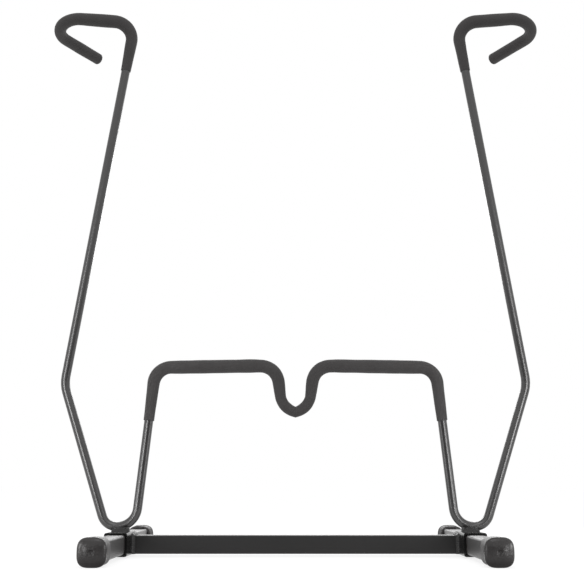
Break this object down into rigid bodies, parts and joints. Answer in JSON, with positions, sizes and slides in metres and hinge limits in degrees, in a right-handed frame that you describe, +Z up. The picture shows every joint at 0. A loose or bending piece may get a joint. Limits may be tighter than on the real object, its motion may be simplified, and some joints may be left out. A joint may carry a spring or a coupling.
{
  "type": "surfboard display rack",
  "caption": "Free-standing surfboard display rack: bent steel rod frame with padded horns and a notched padded bar, welded on sockets for square foot tubes with rubber caps.",
  "frame": {"origin": "on the floor, in the middle between the rubber caps", "axes": "+Z up, +Y to the back, +X to the right as seen from the front"},
  "size_m": [0.5792, 0.343, 0.629],
  "materials": {
    "powder_coat": "satin black powder coat on steel",
    "gloss_paint": "gloss black paint on steel tube",
    "soft_sleeve": "matte charcoal soft sleeve",
    "moulded_rubber": "moulded black rubber, slightly shiny",
    "black_zinc": "black zinc plated steel"
  },
  "bodies": {
    "frame": {"left_rod": "powder_coat", "right_rod": "powder_coat", "left_horn_sleeve": "soft_sleeve", "right_horn_sleeve": "soft_sleeve", "left_bar_sleeve": "soft_sleeve", "right_bar_sleeve": "soft_sleeve", "left_socket": "gloss_paint", "right_socket": "gloss_paint", "crossbar": "powder_coat", "left_weld_nut": "powder_coat", "right_weld_nut": "powder_coat", "left_clamp_screw": "black_zinc", "right_clamp_screw": "black_zinc", "left_rod_weld": "powder_coat", "right_rod_weld": "powder_coat", "left_crossbar_weld": "powder_coat", "right_crossbar_weld": "powder_coat"},
    "left_foot": {"left_foot_tube": "gloss_paint", "front_left_cap": "moulded_rubber", "rear_left_cap": "moulded_rubber"},
    "right_foot": {"right_foot_tube": "gloss_paint", "front_right_cap": "moulded_rubber", "rear_right_cap": "moulded_rubber"}
  },
  "joints": [
    {"name": "left_foot_slide", "type": "slide", "parent": "frame", "child": "left_foot", "axis": [0, 1, 0], "range_m": [-0.105, 0.105]},
    {"name": "right_foot_slide", "type": "slide", "parent": "frame", "child": "right_foot", "axis": [0, 1, 0], "range_m": [-0.105, 0.105]}
  ]
}
